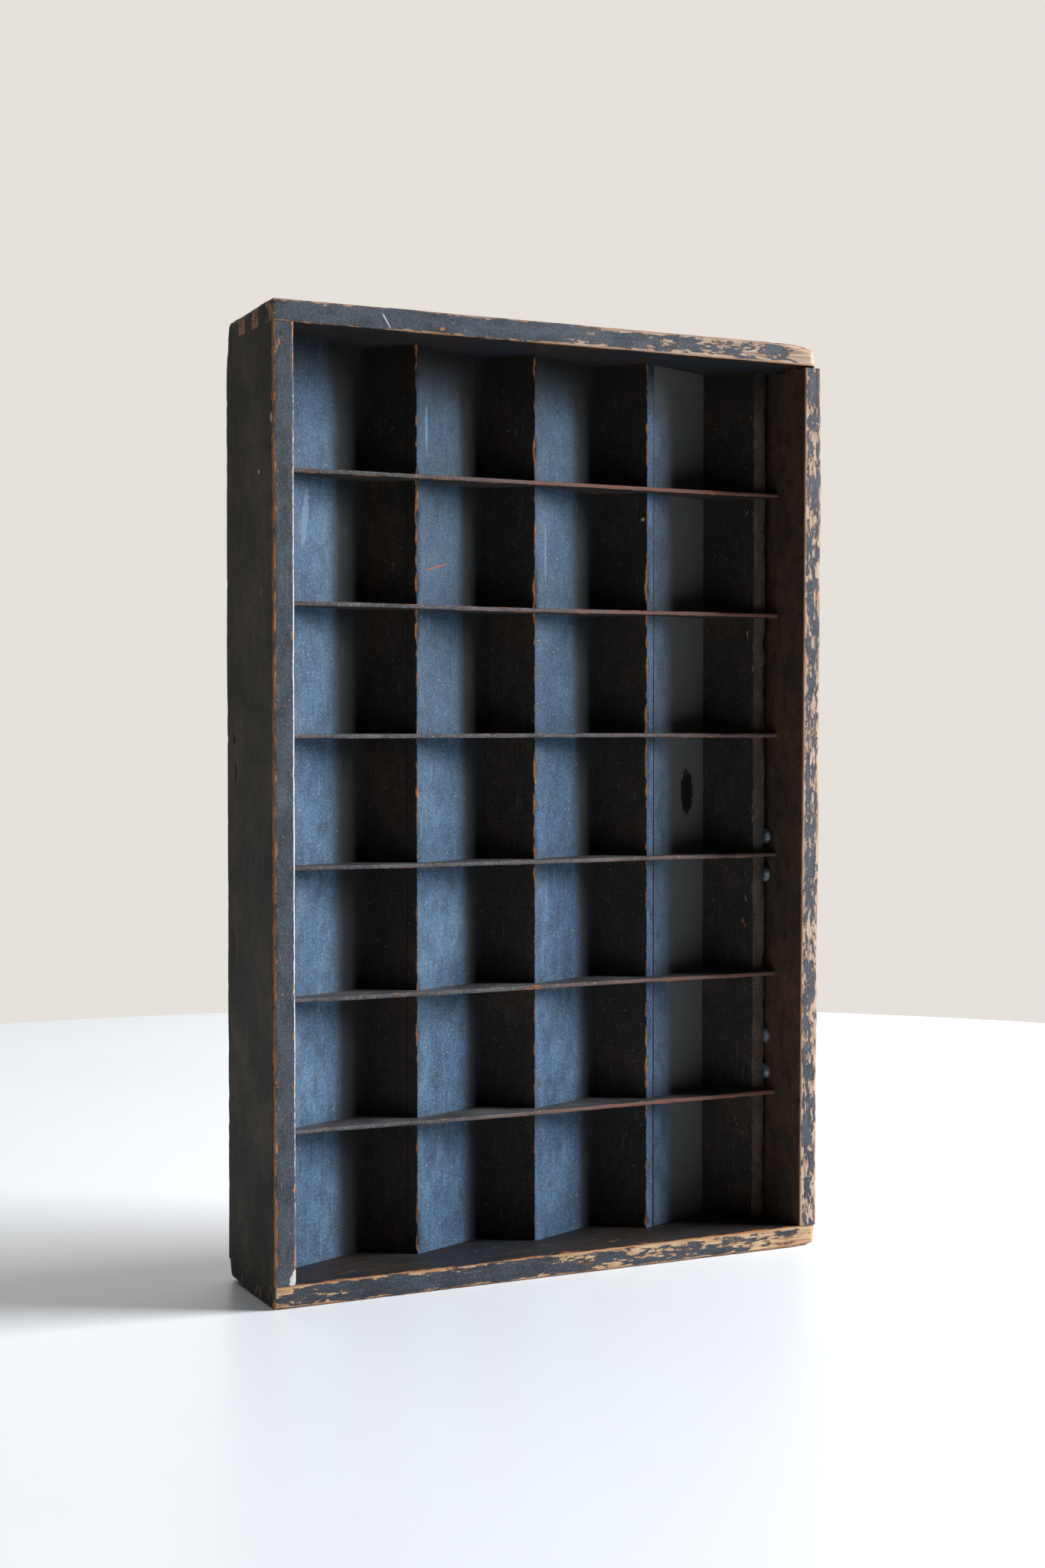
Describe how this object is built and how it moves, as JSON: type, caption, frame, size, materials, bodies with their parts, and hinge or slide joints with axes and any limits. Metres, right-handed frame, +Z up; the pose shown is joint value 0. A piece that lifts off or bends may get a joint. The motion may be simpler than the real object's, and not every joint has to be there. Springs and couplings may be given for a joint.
{
  "type": "type case",
  "caption": "Painted wooden type case that stands on its short side: finger-jointed frame, zigzag of sloping boards and thin dividers forming rows of cells.",
  "frame": {"origin": "centre of the bottom board's underside, at the middle of the case's depth", "axes": "+Z up along the tall side as the case stands, +X to the right seen from the open front, open front faces -Y"},
  "size_m": [0.269, 0.0594, 0.42],
  "materials": {
    "frame_paint": "matte slate-blue paint, flaked to bare wood",
    "slope_paint": "dusty matte slate-blue paint over dark wood",
    "divider_wood": "worn dark stain, matte",
    "back_board": "dark aged wood, matte",
    "screw_metal": "dull zinc plate",
    "nail_metal": "dark oxidised iron"
  },
  "bodies": {
    "root": {"top_board": "frame_paint", "bottom_board": "frame_paint", "left_board": "frame_paint", "right_board": "frame_paint", "back_panel": "back_board", "wide_slope_1": "slope_paint", "wide_slope_2": "slope_paint", "wide_slope_3": "slope_paint", "wide_slope_4": "slope_paint", "steep_slope_1": "slope_paint", "steep_slope_2": "slope_paint", "steep_slope_3": "slope_paint", "steep_slope_4": "slope_paint", "divider_1": "divider_wood", "divider_2": "divider_wood", "divider_3": "divider_wood", "divider_4": "divider_wood", "divider_5": "divider_wood", "divider_6": "divider_wood", "wall_screw_1": "screw_metal", "wall_screw_2": "screw_metal", "wall_screw_3": "screw_metal", "wall_screw_4": "screw_metal", "back_panel_nails": "nail_metal"}
  },
  "joints": []
}
